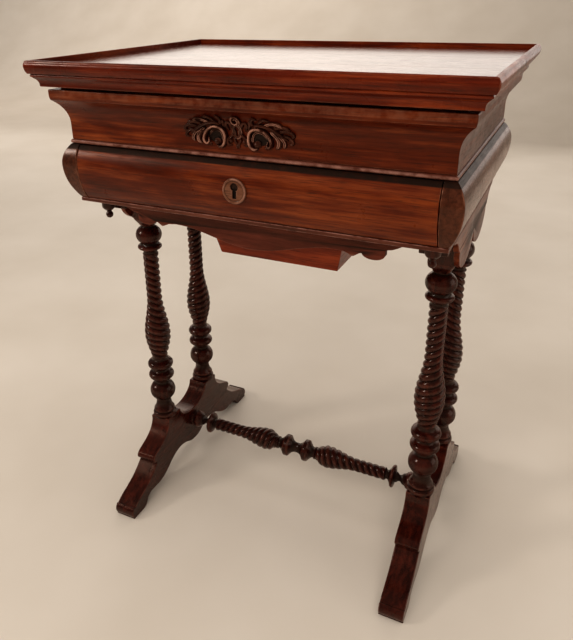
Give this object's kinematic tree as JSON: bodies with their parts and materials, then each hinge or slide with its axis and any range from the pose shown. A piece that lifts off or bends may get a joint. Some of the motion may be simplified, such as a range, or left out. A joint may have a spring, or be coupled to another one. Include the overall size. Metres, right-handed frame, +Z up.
{
  "type": "sewing table",
  "caption": "Free-standing wooden sewing table with a hinged lid over compartments, a drawer and a sliding wool box, on two end frames with twist-turned legs and a turned stretcher.",
  "frame": {"origin": "middle of the floor footprint, at floor level, under the middle of the lid", "axes": "+Z up, +X to the right seen from the front, the drawer opens towards -Y"},
  "size_m": [0.581, 0.434, 0.74],
  "materials": {
    "mahogany_case": "french polished, worn at the edges",
    "mahogany_top": "french polished, scratched",
    "mahogany_dark": "dark french polish",
    "red_cedar": "thin satin varnish",
    "pine": "bare, aged",
    "brass": "aged",
    "velvet": "pile"
  },
  "bodies": {
    "case": {"bottom_board": "mahogany_case", "lower_side_left": "mahogany_case", "lower_side_right": "mahogany_case", "lower_back": "mahogany_case", "drawer_runners": "pine", "middle_board": "mahogany_case", "upper_front": "mahogany_case", "upper_back": "mahogany_case", "upper_left": "mahogany_case", "upper_right": "mahogany_case", "long_divider": "mahogany_case", "cross_dividers": "mahogany_case", "pin_cushion": "velvet", "lid_lock": "brass", "carved_ornament": "mahogany_dark", "rail_left": "mahogany_dark", "rail_right": "mahogany_dark", "side_apron_left": "mahogany_case", "side_apron_right": "mahogany_case", "corner_drops": "mahogany_dark", "leg_front_left": "mahogany_dark", "leg_front_right": "mahogany_dark", "leg_back_left": "mahogany_dark", "leg_back_right": "mahogany_dark", "foot_left": "mahogany_dark", "foot_right": "mahogany_dark", "stretcher": "mahogany_dark", "wool_runners": "pine", "case_hinge_left": "brass", "case_hinge_right": "brass", "hinge_pins": "brass", "case_screws": "brass"},
    "lid": {"lid_rim_front": "mahogany_case", "lid_rim_back": "mahogany_case", "lid_rim_left": "mahogany_case", "lid_rim_right": "mahogany_case", "lid_board_front": "mahogany_top", "lid_board_middle": "mahogany_top", "lid_board_back": "mahogany_top", "lid_hinge_left": "brass", "lid_hinge_right": "brass", "lid_screws": "brass", "lid_strike": "brass"},
    "drawer": {"drawer_front": "mahogany_case", "drawer_side_left": "pine", "drawer_side_right": "pine", "drawer_back": "pine", "drawer_bottom": "pine", "drawer_lock": "brass", "escutcheon": "mahogany_dark"},
    "wool_slide": {"wool_apron": "mahogany_case", "wool_bars": "red_cedar", "wool_box_front": "red_cedar", "wool_box_back": "red_cedar", "wool_box_left": "red_cedar", "wool_box_right": "red_cedar", "wool_box_bottom": "red_cedar"},
    "lid_bolt": {"lid_lock_bolt": "brass"},
    "drawer_bolt": {"drawer_lock_bolt": "brass"}
  },
  "joints": [
    {"name": "lid_hinge", "type": "hinge", "parent": "case", "child": "lid", "pos_m": [0, 0.2012, 0.705], "axis": [-1, 0, 0], "range_deg": [0, 100]},
    {"name": "drawer_slide", "type": "slide", "parent": "case", "child": "drawer", "axis": [0, -1, 0], "range_m": [0, 0.24]},
    {"name": "wool_box_slide", "type": "slide", "parent": "case", "child": "wool_slide", "axis": [0, -1, 0], "range_m": [0, 0.15]},
    {"name": "lid_bolt_slide", "type": "slide", "parent": "case", "child": "lid_bolt", "axis": [0, 0, 1], "range_m": [0, 0.006]},
    {"name": "drawer_bolt_slide", "type": "slide", "parent": "drawer", "child": "drawer_bolt", "axis": [0, 0, 1], "range_m": [0, 0.006]}
  ]
}
